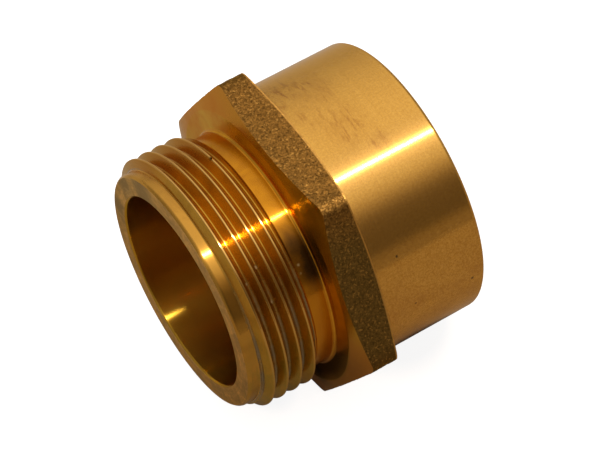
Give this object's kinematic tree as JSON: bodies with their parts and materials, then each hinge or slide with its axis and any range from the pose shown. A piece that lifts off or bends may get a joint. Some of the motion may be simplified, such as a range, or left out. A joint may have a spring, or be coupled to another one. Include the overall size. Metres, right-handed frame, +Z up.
{
  "type": "fire hose adapter",
  "caption": "One-piece brass hose adapter: male hose thread with relief neck, hexagon with cast flats, turned barrel with female pipe socket. Joins a hose coupling to a pipe.",
  "frame": {"origin": "on the surface it lies on, under the middle of its length and under its axis", "axes": "+X along the turning axis from the male hose thread to the female pipe socket, +Z up from the flat it lies on"},
  "size_m": [0.048, 0.0662, 0.058],
  "materials": {
    "brass": "satin turned brass, with rough sand-cast flats on the hexagon"
  },
  "bodies": {
    "root": {"adapter_body": "brass"}
  },
  "joints": []
}
